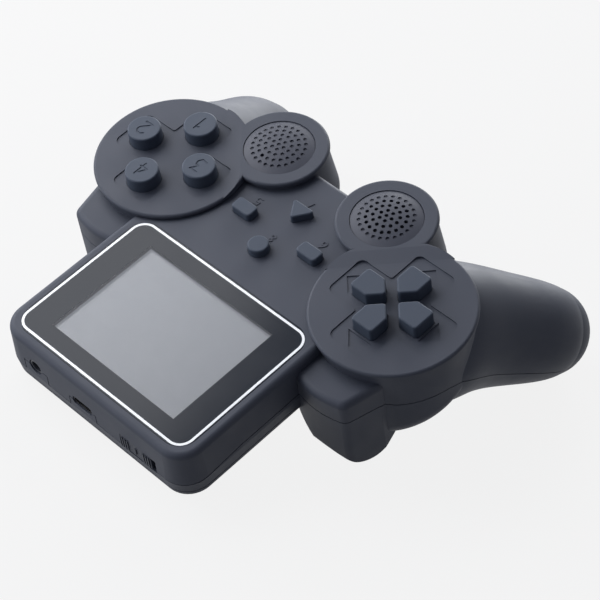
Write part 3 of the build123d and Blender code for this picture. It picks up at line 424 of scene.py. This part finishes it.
nodeLooks = {
    "casing": ["front_casing", "rear_casing", "battery_door"],
    "plates": ["face_key_plate", "arrow_key_plate"],
    "keys": ["face_key_1", "face_key_2", "face_key_3", "face_key_4", "right_arrow_key", "up_arrow_key",
             "left_arrow_key", "down_arrow_key", "right_oblong_key", "left_oblong_key", "wedge_key",
             "round_small_key"],
    "grille": ["speaker_grille", "closed_grille"],
    "knob": ["power_switch_knob", "power_switch_lever"],
    "lens": ["screen_lens"],
    "panelSteel": ["lcd_panel"],
    "ribbon": ["lcd_ribbon"],
    "foam": ["lcd_cushions"],
    "board": ["main_board"],
    "chip": ["game_chip", "memory_chip"],
    "socketSteel": ["usb_socket"],
    "jackPlastic": ["av_jack"],
    "switchBody": ["power_switch_body"],
    "speaker": ["speaker"],
    "battery": ["battery"],
    "brass": ["battery_contacts"],
    "screwSteel": ["door_screw", "rear_screws", "board_screws"],
    "membrane": ["face_membrane", "arrow_membrane", "small_membrane"],
}


def wear(piece, material):
    piece.data.materials.clear()
    piece.data.materials.append(material)


for look, names in nodeLooks.items():
    for name in names:
        wear(nodes[name], looks[look])
print("nodes finished")


# Pieces of the scene's own

def startPiece(name, width, height, level):
    # an upright plane on the deck, in edit mode with all of it selected; sizes in millimetres
    bpy.ops.object.select_all(action="DESELECT")
    bpy.ops.mesh.primitive_plane_add(size=1.0)
    piece = bpy.context.object
    piece.name = name
    bpy.ops.object.mode_set(mode="EDIT")
    bpy.ops.mesh.select_all(action="SELECT")
    bpy.ops.transform.resize(value=(width * millimetre, height * millimetre, 1.0))
    bpy.ops.transform.translate(value=(0, 0, level * millimetre))
    return piece


def endPiece(piece, material):
    # set on the leaning deck, with its place in its mesh
    bpy.ops.mesh.select_all(action="SELECT")
    bpy.ops.mesh.normals_make_consistent(inside=False)
    bpy.ops.object.mode_set(mode="OBJECT")
    piece.data.transform(deck)
    wear(piece, material)
    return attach(piece, stillBody)


def thicken(height):
    move = {"value": (0, 0, height * millimetre)}
    bpy.ops.mesh.extrude_region_move(TRANSFORM_OT_translate=move)


def whiteLine():
    # the printed line round the lens
    width, height = (2 * half for half in lensLook["lineHalf"])
    piece = startPiece("lens_line", width, height, lensLook["lineLevel"])
    bpy.ops.mesh.bevel(offset=lensLook["lineCorner"] * millimetre, segments=12, affect="VERTICES")
    bpy.ops.mesh.inset(thickness=lensLook["lineWidth"] * millimetre)
    bpy.ops.mesh.delete(type="FACE")
    bpy.ops.mesh.select_all(action="SELECT")
    thicken(lensLook["lineThick"])
    paint = Paint("linePrint")
    ink = paint.noise(0.0006, 3.0, 0.6)
    colour = tinted(paint, lensLook["line"], ink, 0.02)
    shader = paint.surface(Base_Color=colour, Roughness=between(paint, ink, 0.25, 0.4))
    return endPiece(piece, paint.finish(shader))


def displayFace():
    # thin film on the panel, a little larger than the lit area
    width, height = (2 * half for half in displayLook["borderHalf"])
    piece = startPiece("display_face", width, height, displayLook["level"])
    bpy.ops.mesh.bevel(offset=displayLook["corner"] * millimetre, segments=3, affect="VERTICES")
    thicken(displayLook["thick"])
    return endPiece(piece, looks["display"])


whiteLine()
displayFace()
print("own pieces made")


# Floor, light and camera

stageLook = {
    "floor": (0.34, 0.34, 0.35), "floorSize": 6.0, "floorShare": 0.86,
    "ambient": (0.62, 0.70, 1.0), "ambientLevel": 0.14, "white": (1.0, 1.0, 1.0),
}


def seenRays(paint):
    # 1 where a ray comes from the camera, straight or by way of metal or glass
    rays = paint.node("ShaderNodeLightPath")
    return rays["Is Camera Ray"].high(rays["Is Glossy Ray"]).high(rays["Is Transmission Ray"])


def floorPiece():
    bpy.ops.object.select_all(action="DESELECT")
    bpy.ops.mesh.primitive_plane_add(size=stageLook["floorSize"])
    floor = bpy.context.object
    floor.name = "studio_floor"
    paint = Paint("studioPaper")
    seen = seenRays(paint)
    shade = tinted(paint, stageLook["floor"], paint.noise(0.05, 2.0), 0.01)
    paper = paint.surface(Base_Color=shade, Roughness=0.9, Specular_IOR_Level=0.0)
    glow = paint.node("ShaderNodeEmission", None, {"Color": stageLook["white"], "Strength": 1.0})[0]
    inputs = {0: seen * stageLook["floorShare"], 1: paper, 2: glow}
    shader = paint.node("ShaderNodeMixShader", None, inputs)[0]
    wear(floor, paint.finish(shader))


def worldLight():
    world = bpy.data.worlds.new("studioWorld")
    bpy.context.scene.world = world
    world.use_nodes = True
    paint = Paint("", world.node_tree)
    seen = seenRays(paint)
    dim = tuple(part * stageLook["ambientLevel"] for part in stageLook["ambient"])
    colour = paint.mix(seen, dim, stageLook["white"])
    light = paint.node("ShaderNodeBackground", None, {"Color": colour, "Strength": 1.0})[0]
    paint.node("ShaderNodeOutputWorld", None, {"Surface": light})


lamps = {
    # place and aim in metres on the deck's own axes, size, watts, colour
    "key": ((0.40, -0.05, 0.31), (0.0, 0.0, 0.0), 0.45, 3.5, (0.98, 0.985, 1.0)),
    "fill": ((0.55, 0.62, 0.20), (0.0, 0.0, 0.0), 0.7, 6.0, (0.90, 0.94, 1.0)),
    "rim": ((0.42, -0.85, 0.05), (0.0, -0.05, 0.0), 0.6, 9.0, (0.96, 0.98, 1.0)),
}


def addLamp(name, place, aim, size, watts, colour):
    light = bpy.data.lights.new(name, "AREA")
    light.shape = "SQUARE"
    light.size = size
    light.energy = watts
    light.color = colour
    lamp = bpy.data.objects.new(name, light)
    bpy.context.scene.collection.objects.link(lamp)
    start = deck @ Vector(place)
    end = deck @ Vector(aim)
    turn = (start - end).to_track_quat("Z", "Y").to_matrix().to_4x4()
    lamp.matrix_world = Matrix.Translation(start) @ turn


cameraLook = {
    # on the deck's own axes, in metres
    "place": (-0.308346, 0.194103, 0.440539), "right": (-0.706449, -0.700736, -0.099489),
    "up": (0.500414, -0.593932, 0.629945), "back": (-0.500515, 0.395238, 0.770241),
    "lens": 125.2526, "sensor": 36.0, "clip": (0.01, 20.0),
    "shift": (-0.5 / 600, 0.5 / 600),    # half a pixel of the 600 by 600 image
}


def addCamera():
    data = bpy.data.cameras.new("camera")
    data.sensor_width = cameraLook["sensor"]
    data.lens = cameraLook["lens"]
    data.shift_x, data.shift_y = cameraLook["shift"]
    camera = bpy.data.objects.new("camera", data)
    bpy.context.scene.collection.objects.link(camera)
    axes = Matrix([cameraLook[name] for name in ("right", "up", "back")]).transposed().to_4x4()
    camera.matrix_world = deck @ (Matrix.Translation(cameraLook["place"]) @ axes)
    data.clip_start, data.clip_end = cameraLook["clip"]
    bpy.context.scene.camera = camera


floorPiece()
worldLight()
for name, values in lamps.items():
    addLamp(name, *values)
addCamera()
bpy.context.scene.view_settings.view_transform = "Standard"
print("stage set")
